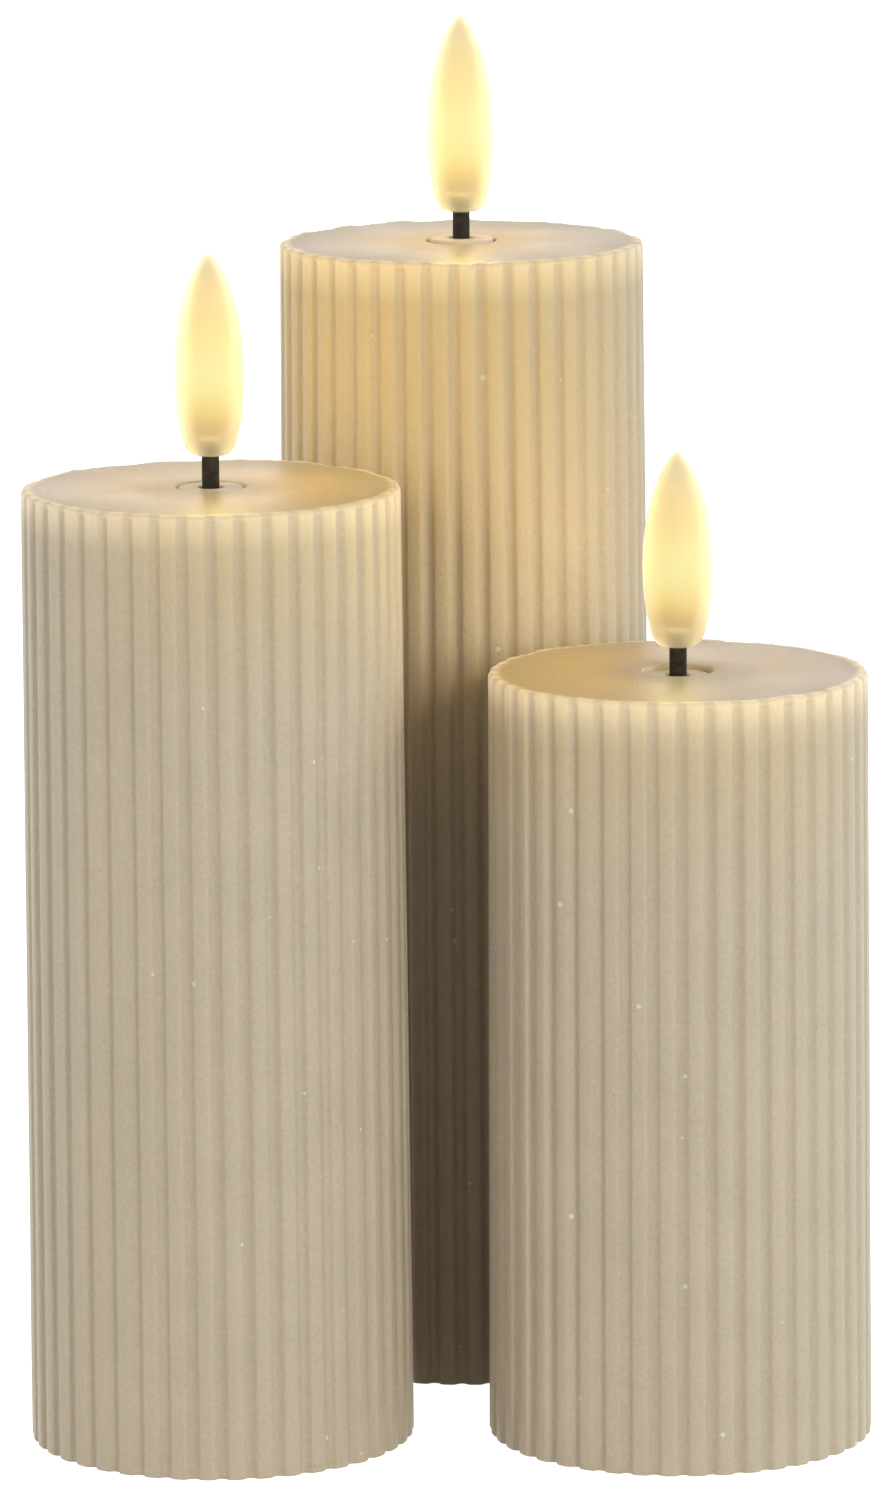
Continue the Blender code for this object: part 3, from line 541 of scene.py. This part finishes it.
# The wicks. Each is a short black sleeve that holds the bulb up and hides the lamp's lead. It is a moulded
# tube with a flange at its foot, which the plug holds down on the core.
wick_finish, wick_tree, wick_shader, wick_place = start_finish("black_wick", Roughness=0.75)
wick_shader.inputs["Specular IOR Level"].default_value = 0.15
wick_dark = (0.018, 0.014, 0.009, 1)
wick_pale = (0.040, 0.032, 0.020, 1)
wick_grain = place_grain(wick_tree, wick_place, 4200.0, 900.0)
wick_tone = blend_colour(wick_tree, wick_grain["Coarse"], wick_dark, wick_pale)
wick_tree.links.new(wick_tone, wick_shader.inputs["Base Color"])
add_bump(wick_tree, wick_shader, wick_grain["Fine"], 0.4, 0.00006)

stem = 0.00114
lead_hole = 0.00080
flange_height = 0.0008
wick_chamfer = 0.0002
for candle in candles:
    wick_low, wick_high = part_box(f"{candle}_wick_sleeve")
    flange = (wick_high.x - wick_low.x) / 2
    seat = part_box(f"{candle}_wick_collar")[0].z
    shelf = seat + flange_height
    wick_profile = [(lead_hole, wick_low.z), (stem, wick_low.z), (stem, seat), (flange, seat)]
    wick_profile += [(flange, shelf), (stem, shelf), (stem, wick_high.z - wick_chamfer)]
    wick_profile += [(stem - wick_chamfer, wick_high.z), (lead_hole, wick_high.z)]
    wick = lathe(f"{candle}_wick", wick_profile, axis_of[candle], 40, wick_finish)
    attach(wick, f"{candle}_candle")
    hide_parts(f"{candle}_wick_sleeve")

# The flame bulbs. Each is a blown, frosted plastic flame with an open foot on the wick. The lamp in its
# foot makes it glow: brightest a little below the middle, more golden above and below, pale at the tip.
flame_outline = [
    (0.000, 0.42),
    (0.006, 0.53),
    (0.020, 0.63),
    (0.040, 0.705),
    (0.070, 0.77),
    (0.100, 0.81),
    (0.150, 0.878),
    (0.200, 0.922),
    (0.300, 0.98),
    (0.400, 1.00),
    (0.500, 0.985),
    (0.600, 0.932),
    (0.700, 0.84),
    (0.800, 0.685),
    (0.850, 0.575),
    (0.900, 0.455),
    (0.950, 0.290),
    (0.980, 0.150),
    (1.000, 0.00),
]
glow_stops = [
    (0.00, (0.34, 0.27, 0.14, 1)),
    (0.07, (0.36, 0.26, 0.10, 1)),
    (0.16, (0.50, 0.29, 0.05, 1)),
    (0.24, (0.80, 0.56, 0.10, 1)),
    (0.36, (0.91, 0.89, 0.36, 1)),
    (0.50, (0.91, 0.90, 0.40, 1)),
    (0.66, (0.79, 0.58, 0.16, 1)),
    (0.86, (0.80, 0.64, 0.35, 1)),
    (1.00, (0.60, 0.48, 0.36, 1)),
]
# The wax mirrors the lit bulbs brighter than they look. This much light is added for mirrored rays.
mirror_boost = (5.2, 4.9, 3.2)
bulb_stretch = {"tall": 1.0, "medium": 1.0, "short": 0.968}
lamp_power = {"tall": 0.0130, "medium": 0.0155, "short": 0.0125}
lamp_colour = (1.0, 0.64, 0.13)
lamp_radius = 0.0030
lamp_rise = 0.36
bulb_finish, bulb_tree, bulb_shader, bulb_place = start_finish(
    "frosted_bulb",
    Base_Color=(0.86, 0.82, 0.67, 1),
    Roughness=0.60,
    IOR=1.2,
    Transmission_Weight=0.90,
    Emission_Color=(1.0, 0.86, 0.55, 1),
    Emission_Strength=0.02,
)
bulb_grain = place_grain(bulb_tree, bulb_place, 3000.0, 200.0)
bulb_rough = ease(bulb_tree, bulb_grain["Coarse"], 0.0, 1.0, 0.57, 0.63)
bulb_tree.links.new(bulb_rough, bulb_shader.inputs["Roughness"])
add_bump(bulb_tree, bulb_shader, bulb_grain["Fine"], 0.15, 0.00004)


def glowing(name, alpha):
    """The lamp's light in the bulb's hollow, by height. Its alpha says how thick the glow stands there."""
    material, tree, shader, place = start_finish(name, Roughness=0.6, Emission_Strength=0.90, Alpha=alpha)
    shader.inputs["Base Color"].default_value = (0.04, 0.03, 0.02, 1)
    shader.inputs["Specular IOR Level"].default_value = 0.0
    rise = put(tree, "ShaderNodeUVMap", uv_map="rise").outputs[0]
    up_bulb = put(tree, "ShaderNodeSeparateXYZ", {0: rise}).outputs["Y"]
    texture = place_grain(tree, place, 900.0, 250.0)
    wavy = calc(tree, "MULTIPLY_ADD", texture["Coarse"], 0.03, up_bulb)
    glow = put(tree, "ShaderNodeValToRGB", {"Fac": wavy})
    glow.color_ramp.interpolation = "B_SPLINE"
    for stop, colour in glow_stops[1:-1]:
        glow.color_ramp.elements.new(stop).color = colour
    glow.color_ramp.elements[0].color = glow_stops[0][1]
    glow.color_ramp.elements[-1].color = glow_stops[-1][1]
    bounces = put(tree, "ShaderNodeLightPath").outputs["Glossy Depth"]
    mirrored = calc(tree, "GREATER_THAN", bounces, 0.5)
    values = {0: mirrored, 1: mirror_boost, 2: glow.outputs["Color"]}
    brighter = put(tree, "ShaderNodeVectorMath", values, operation="MULTIPLY_ADD").outputs[0]
    tree.links.new(brighter, shader.inputs["Emission Color"])
    material.cycles.emission_sampling = "NONE"
    return material


glow_core = glowing("glow_core", 1.0)
glow_haze = glowing("glow_haze", 0.22)


def between(a, b, c, d, t):
    """The value at t, from 0 to 1, on a smooth curve from b to c, with a before them and d after."""
    slope = (c - a) * t
    bend = (2 * a - 5 * b + 4 * c - d) * t**2
    twist = (3 * b - a - 3 * c + d) * t**3
    return 0.5 * (2 * b + slope + bend + twist)


def smooth_outline(points, steps):
    """A curve through the points, each a pair, with the given steps between one point and the next."""
    ends = [points[0], *points, points[-1]]
    curve = []
    for before, start, end, after in zip(ends, ends[1:], ends[2:], ends[3:]):
        for step in range(steps):
            t = step / steps
            curve.append([between(*values, t) for values in zip(before, start, end, after)])
    return [*curve, points[-1]]


outline = smooth_outline(flame_outline, 5)
bulb_wall = 0.0003
neck = 0.0013
wick_gap = 0.0002
layer_step = 0.0003
layer_shares = (0.57, 0.70, 0.81, 0.915)
for candle in candles:
    bulb_low, bulb_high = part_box(f"{candle}_flame_bulb")
    bulb_radius = (bulb_high.y - bulb_low.y) / 2
    bulb_height = (bulb_high.z - bulb_low.z) * bulb_stretch[candle]
    curve = [(share * bulb_radius, rise * bulb_height) for rise, share in outline]
    shrink = 1 - bulb_wall / bulb_radius
    flatten = 1 - 2 * bulb_wall / bulb_height
    outer = [(distance, bulb_low.z + level) for distance, level in curve]
    inner = []
    for distance, level in curve:
        up_wall = bulb_wall + level * flatten
        least = neck if up_wall < 0.5 * bulb_height else 0
        inner.append((max(distance * shrink, least), bulb_low.z + up_wall))
    shell = [(neck, bulb_low.z), *outer, *inner[:0:-3], inner[0]]
    bulb = lathe(f"{candle}_flame", shell, axis_of[candle], 72, bulb_finish)
    bore = neck + wick_gap
    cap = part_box(f"{candle}_wick_sleeve")[1].z + layer_step
    layers = bmesh.new()
    for number, layer_share in enumerate(layer_shares):
        layer_rise = 0.78 + 0.2 * layer_share
        scaled = [(distance * layer_share, level * layer_rise) for distance, level in curve]
        open_foot = [point for point in scaled if point[0] > bore or point[1] > 0.5 * bulb_height]
        foot = bulb_low.z + 2 * bulb_wall + layer_step * (3 - number)
        glow_curve = [(distance, foot + level) for distance, level in open_foot[::2]]
        tip = foot + scaled[-1][1]
        glow_curve = [(0, cap), (bore, cap), (bore, glow_curve[0][1]), *glow_curve, (0, tip)]
        layer = lathe("layer", glow_curve, axis_of[candle], 48, glow_core)
        layer_mesh = layer.data
        bpy.data.objects.remove(layer)
        before = len(layers.faces)
        layers.from_mesh(layer_mesh)
        layers.faces.ensure_lookup_table()
        for face in layers.faces[before:]:
            face.material_index = min(number, 1)
        bpy.data.meshes.remove(layer_mesh)
    core_mesh = bpy.data.meshes.new(f"{candle}_glow")
    layers.to_mesh(core_mesh)
    layers.free()
    core_mesh.materials.append(glow_core)
    core_mesh.materials.append(glow_haze)
    core = add_object(f"{candle}_glow", core_mesh)
    rise_map = core_mesh.uv_layers.new(name="rise")
    for corner in core_mesh.loops:
        level = core_mesh.vertices[corner.vertex_index].co.z
        rise_map.data[corner.index].uv = (0.5, (level - bulb_low.z) / bulb_height)
    bulb.visible_shadow = False
    core.visible_shadow = False
    lamp_data = bpy.data.lights.new(f"{candle}_flame_light", "POINT")
    lamp_data.energy = lamp_power[candle]
    lamp_data.color = lamp_colour
    lamp_data.shadow_soft_size = lamp_radius
    lamp = add_object(f"{candle}_flame_light", lamp_data)
    lamp.location = axis_of[candle] + Vector((0, 0, bulb_low.z + lamp_rise * bulb_height))
    lamp.visible_camera = False
    lamp.visible_transmission = False
    lamp.parent = bulb
    for piece in (bulb, core):
        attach(piece, f"{candle}_candle")
    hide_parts(f"{candle}_flame_bulb")

# The works inside. They are the model's own solids: the core, lamp, lead, board, chip, switch body,
# contacts, cells and screws. Each gets its own finish here.


def dress(node_ends, material):
    """Gives every candle's node of these names the material."""
    for candle in candles:
        for end in node_ends:
            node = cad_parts[f"{candle}_{end}"]
            node.data.materials.clear()
            node.data.materials.append(material)


def moulded(name, dark, light, roughness, bump=0.25, **sockets):
    """A moulded or coated finish: two tones in a soft mottle, a fine grain, and roughness that varies."""
    material, tree, shader, place = start_finish(name, **sockets)
    texture = place_grain(tree, place, 2400.0, 180.0)
    tree.links.new(blend_colour(tree, texture["Coarse"], dark, light), shader.inputs["Base Color"])
    varied = ease(tree, texture["Coarse"], 0.0, 1.0, roughness - 0.05, roughness + 0.05)
    tree.links.new(varied, shader.inputs["Roughness"])
    add_bump(tree, shader, texture["Fine"], bump, 0.00004)
    return material


dress(["inner_core"], moulded("milky_plastic", (0.70, 0.68, 0.62, 1), (0.80, 0.78, 0.72, 1), 0.45))
resin_dark = (0.95, 0.78, 0.45, 1)
resin_pale = (1.0, 0.86, 0.55, 1)
lamp_resin = moulded("lamp_resin", resin_dark, resin_pale, 0.2, Emission_Strength=1.0)
lamp_resin.node_tree.nodes["Principled BSDF"].inputs["Emission Color"].default_value = (1.0, 0.80, 0.45, 1)
dress(["led_lamp"], lamp_resin)
dress(["lead_cable"], moulded("lead_sheath", (0.42, 0.020, 0.015, 1), (0.55, 0.035, 0.02, 1), 0.45))
dress(["circuit_board"], moulded("green_board", (0.02, 0.13, 0.05, 1), (0.04, 0.21, 0.09, 1), 0.35))
black_resin = moulded("black_resin", (0.015, 0.015, 0.015, 1), (0.03, 0.03, 0.03, 1), 0.5)
dress(["timer_chip", "switch_body"], black_resin)
nickel = moulded("nickel_steel", (0.56, 0.54, 0.49, 1), (0.68, 0.66, 0.61, 1), 0.28, Metallic=1.0)
dress(["spring_contact", "plate_contact", "bridge_contact"], nickel)
zinc = moulded("zinc_screw", (0.50, 0.50, 0.50, 1), (0.62, 0.62, 0.61, 1), 0.32, Metallic=1.0)
dress(["base_screw_left", "base_screw_right"], zinc)

# An AA cell has a printed jacket with a gold band at its nub's end, and bare steel at both ends.
print_dark = (0.05, 0.09, 0.07, 1)
print_pale = (0.08, 0.14, 0.11, 1)
gold = (0.55, 0.33, 0.10, 1)
bare_steel = (0.62, 0.61, 0.58, 1)
cell_low, cell_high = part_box("tall_battery_left")
for side, nub, flat in (("left", cell_high.z, cell_low.z), ("right", cell_low.z, cell_high.z)):
    jacket, cell_tree, cell_shader, cell_place = start_finish(f"cell_jacket_{side}", Roughness=0.3)
    cell_up = put(cell_tree, "ShaderNodeSeparateXYZ", {0: cell_place}).outputs["Z"]
    values = {"Value": cell_up, "From Min": flat, "From Max": nub}
    from_flat = put(cell_tree, "ShaderNodeMapRange", values).outputs[0]
    cell_grain = place_grain(cell_tree, cell_place, 1500.0, 120.0)
    print_tone = blend_colour(cell_tree, cell_grain["Coarse"], print_dark, print_pale)
    on_band = calc(cell_tree, "GREATER_THAN", from_flat, 0.72)
    banded = blend_colour(cell_tree, on_band, print_tone, gold)
    past_jacket = calc(cell_tree, "GREATER_THAN", from_flat, 0.968)
    before_jacket = calc(cell_tree, "LESS_THAN", from_flat, 0.006)
    bare = calc(cell_tree, "MAXIMUM", past_jacket, before_jacket)
    cell_tone = blend_colour(cell_tree, bare, banded, bare_steel)
    cell_tree.links.new(cell_tone, cell_shader.inputs["Base Color"])
    cell_tree.links.new(calc(cell_tree, "MAXIMUM", bare, 0.35), cell_shader.inputs["Metallic"])
    add_bump(cell_tree, cell_shader, cell_grain["Fine"], 0.1, 0.00003)
    dress([f"battery_{side}"], jacket)

# The base and its cover. Both are moulded in one ivory plastic with a fine spark-eroded texture. The cover
# has a row of grip ribs by its finger hollow, and the plate has the names of the switch's three places.
ivory = moulded("ivory_plastic", (0.70, 0.65, 0.55, 1), (0.78, 0.73, 0.63, 1), 0.42, bump=0.5)
dress(["base_housing", "battery_cover"], ivory)

ribbing = bpy.data.node_groups.new("bar_row", "GeometryNodeTree")
add_socket(ribbing, "Bar", "Geometry")
add_socket(ribbing, "Count", "Int")
for label in ("First", "Step"):
    add_socket(ribbing, label, "Vector")
add_socket(ribbing, "Plastic", "Material")
add_socket(ribbing, "Row", "Geometry", "OUTPUT")
row_given = put(ribbing, "NodeGroupInput").outputs
bar_places = put(
    ribbing,
    "GeometryNodeMeshLine",
    {"Count": row_given["Count"], "Start Location": row_given["First"], "Offset": row_given["Step"]},
)
values = {"Points": bar_places.outputs[0], "Instance": row_given["Bar"]}
bars = put(ribbing, "GeometryNodeInstanceOnPoints", values)
real_bars = put(ribbing, "GeometryNodeRealizeInstances", {"Geometry": bars.outputs[0]})
values = {"Geometry": real_bars.outputs[0], "Material": row_given["Plastic"]}
bar_finish = put(ribbing, "GeometryNodeSetMaterial", values)
put(ribbing, "NodeGroupOutput", {"Row": bar_finish.outputs[0]})


def rounded_bar(length, width, height, along="X"):
    """A low bar with rounded long edges, as a mesh about the origin that stands down from it."""
    shape = bmesh.new()
    size = (length, width, 2 * height) if along == "X" else (width, length, 2 * height)
    bmesh.ops.create_cube(shape, size=1, matrix=Matrix.Diagonal((*size, 1)))
    edge = 0.4 * min(width, 2 * height)
    bmesh.ops.bevel(shape, geom=shape.edges, offset=edge, segments=3, affect="EDGES")
    mesh = bpy.data.meshes.new("bar")
    shape.to_mesh(mesh)
    shape.free()
    mesh.shade_smooth()
    return mesh


rib_step = 0.0011
first_rib = 0.0075
for candle in candles:
    cover_low, cover_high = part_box(f"{candle}_battery_cover")
    rib_values = {
        "Count": 5,
        "First": Vector((axis_of[candle].x, cover_high.y - first_rib, cover_low.z)),
        "Step": Vector((0, rib_step, 0)),
        "Plastic": ivory,
    }
    ribs = grow(f"{candle}_grip_ribs", rounded_bar(0.0085, 0.00045, 0.00022), ribbing, rib_values)
    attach(ribs, f"{candle}_cover")

letter_height = 0.0015
letter_relief = 0.00012
word_gap = 0.0010
word_shift = {"ON": 0.0046, "OFF": 0.0, "TIMER": -0.0052}
for candle in candles:
    knob_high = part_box(f"{candle}_switch_knob")[1]
    plate_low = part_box(f"{candle}_base_housing")[0]
    shape = bmesh.new()
    for word, shift in word_shift.items():
        text = bpy.data.curves.new("word", "FONT")
        text.body = word
        text.size = letter_height
        text.align_x = "CENTER"
        text.extrude = letter_relief
        text.resolution_u = 3
        word_mesh = take_mesh(add_object("word", text))
        word_place = Vector((axis_of[candle].x + shift, knob_high.y + word_gap, plate_low.z))
        word_mesh.transform(Matrix.Translation(word_place) @ Matrix.Rotation(math.pi, 4, "Y"))
        shape.from_mesh(word_mesh)
        bpy.data.meshes.remove(word_mesh)
    words_mesh = bpy.data.meshes.new(f"{candle}_switch_words")
    shape.to_mesh(words_mesh)
    shape.free()
    words_mesh.materials.clear()
    words_mesh.materials.append(ivory)
    words = add_object(f"{candle}_switch_words", words_mesh)
    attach(words, f"{candle}_candle")

# The switch. Its knob is a small black moulding that slides between three places, with three ridges across
# its end for a fingernail.
black_knob = moulded("black_knob", (0.015, 0.015, 0.015, 1), (0.03, 0.03, 0.03, 1), 0.35)
dress(["switch_knob"], black_knob)
ridge_step = 0.0007
for candle in candles:
    knob_low, knob_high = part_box(f"{candle}_switch_knob")
    knob_middle = (knob_low + knob_high) / 2
    ridge_values = {
        "Count": 3,
        "First": Vector((knob_middle.x - ridge_step, knob_middle.y, knob_low.z)),
        "Step": Vector((ridge_step, 0, 0)),
        "Plastic": black_knob,
    }
    ridges = grow(f"{candle}_knob_ridges", rounded_bar(0.0013, 0.0003, 0.00018, "Y"), ribbing, ridge_values)
    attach(ridges, f"{candle}_switch")

# The studio. A plain white floor, soft boxes in front, at both sides and behind, and a dim room. The floor
# and the room are white to rays that see them, straight, mirrored or through a bulb.


def seen_plainly(tree):
    """One for rays that see the place straight, mirrored or through a bulb, and none for the others."""
    ray = put(tree, "ShaderNodeLightPath").outputs
    seen = calc(tree, "MAXIMUM", ray["Is Camera Ray"], ray["Is Glossy Ray"])
    return calc(tree, "MAXIMUM", seen, ray["Is Transmission Ray"])


floor_mesh = bpy.data.meshes.new("floor")
floor_half = 8.0
floor_corners = [(floor_half * x, floor_half * y, 0) for x, y in ((-1, -1), (1, -1), (1, 1), (-1, 1))]
floor_mesh.from_pydata(floor_corners, [], [(0, 1, 2, 3)])
floor = add_object("floor", floor_mesh)
floor_finish = bpy.data.materials.new("white_floor")
floor_finish.use_nodes = True
floor_tree = floor_finish.node_tree
floor_shader = floor_tree.nodes["Principled BSDF"]
floor_shader.inputs["Base Color"].default_value = (0.95, 0.95, 0.95, 1)
floor_shader.inputs["Roughness"].default_value = 0.9
floor_shader.inputs["Specular IOR Level"].default_value = 0.0
lit_values = {"Color": (1, 1, 1, 1), "Strength": seen_plainly(floor_tree)}
lit_floor = put(floor_tree, "ShaderNodeEmission", lit_values)
floor_sum = put(floor_tree, "ShaderNodeAddShader", {0: floor_shader.outputs[0], 1: lit_floor.outputs[0]})
floor_tree.links.new(floor_sum.outputs[0], floor_tree.nodes["Material Output"].inputs["Surface"])
floor_mesh.materials.append(floor_finish)

world = bpy.data.worlds.new("room")
bpy.context.scene.world = world
world.use_nodes = True
room = world.node_tree
room.nodes["Background"].inputs["Color"].default_value = (1.0, 0.98, 0.96, 1)
dim = 0.18
room_values = {"Value": seen_plainly(room), "To Min": dim, "To Max": 1.0}
room_strength = put(room, "ShaderNodeMapRange", room_values)
room.links.new(room_strength.outputs[0], room.nodes["Background"].inputs["Strength"])

aim = Vector((0, 0, 0.08))
daylight = (1.0, 0.99, 0.97)
for name, place, size, power, tone in (
    ("front_right_box", (0.745, -1.53, 0.40), (0.4, 0.9), 12.2, daylight),
    ("front_left_box", (-0.745, -1.53, 0.40), (0.4, 0.9), 3.0, daylight),
    ("left_box", (-1.14, -0.16, 0.30), (1.8, 1.0), 7.4, (0.96, 0.99, 1.0)),
    ("right_box", (1.14, -0.16, 0.30), (1.0, 1.0), 7.0, (0.80, 0.92, 1.0)),
    ("back_box", (0.20, 1.60, 0.50), (0.9, 0.9), 1.3, (0.96, 0.98, 1.0)),
    ("back_left_box", (-1.15, 1.25, 0.50), (0.9, 0.9), 2.0, daylight),
    ("back_right_box", (1.15, 1.25, 0.50), (0.9, 0.9), 2.0, daylight),
):
    box_light = bpy.data.lights.new(name, "AREA")
    box_light.shape = "RECTANGLE"
    box_light.size, box_light.size_y = size
    box_light.energy = power
    box_light.color = tone
    stand = add_object(name, box_light)
    stand.location = place
    stand.rotation_euler = (aim - Vector(place)).to_track_quat("-Z", "Y").to_euler()

camera_data = bpy.data.cameras.new("camera")
camera_data.lens = 205.05
camera_data.sensor_width = 36
camera_data.clip_start = 0.01
camera = add_object("camera", camera_data)
look_down = 0.18253
roll = -0.0083
camera.matrix_world = (
    Matrix.Translation((-0.00017, -1.1220, 0.2944))
    @ Matrix.Rotation(math.pi / 2 - look_down, 4, "X")
    @ Matrix.Rotation(roll, 4, "Z")
)
bpy.context.scene.camera = camera
bpy.context.scene.view_settings.view_transform = "Standard"
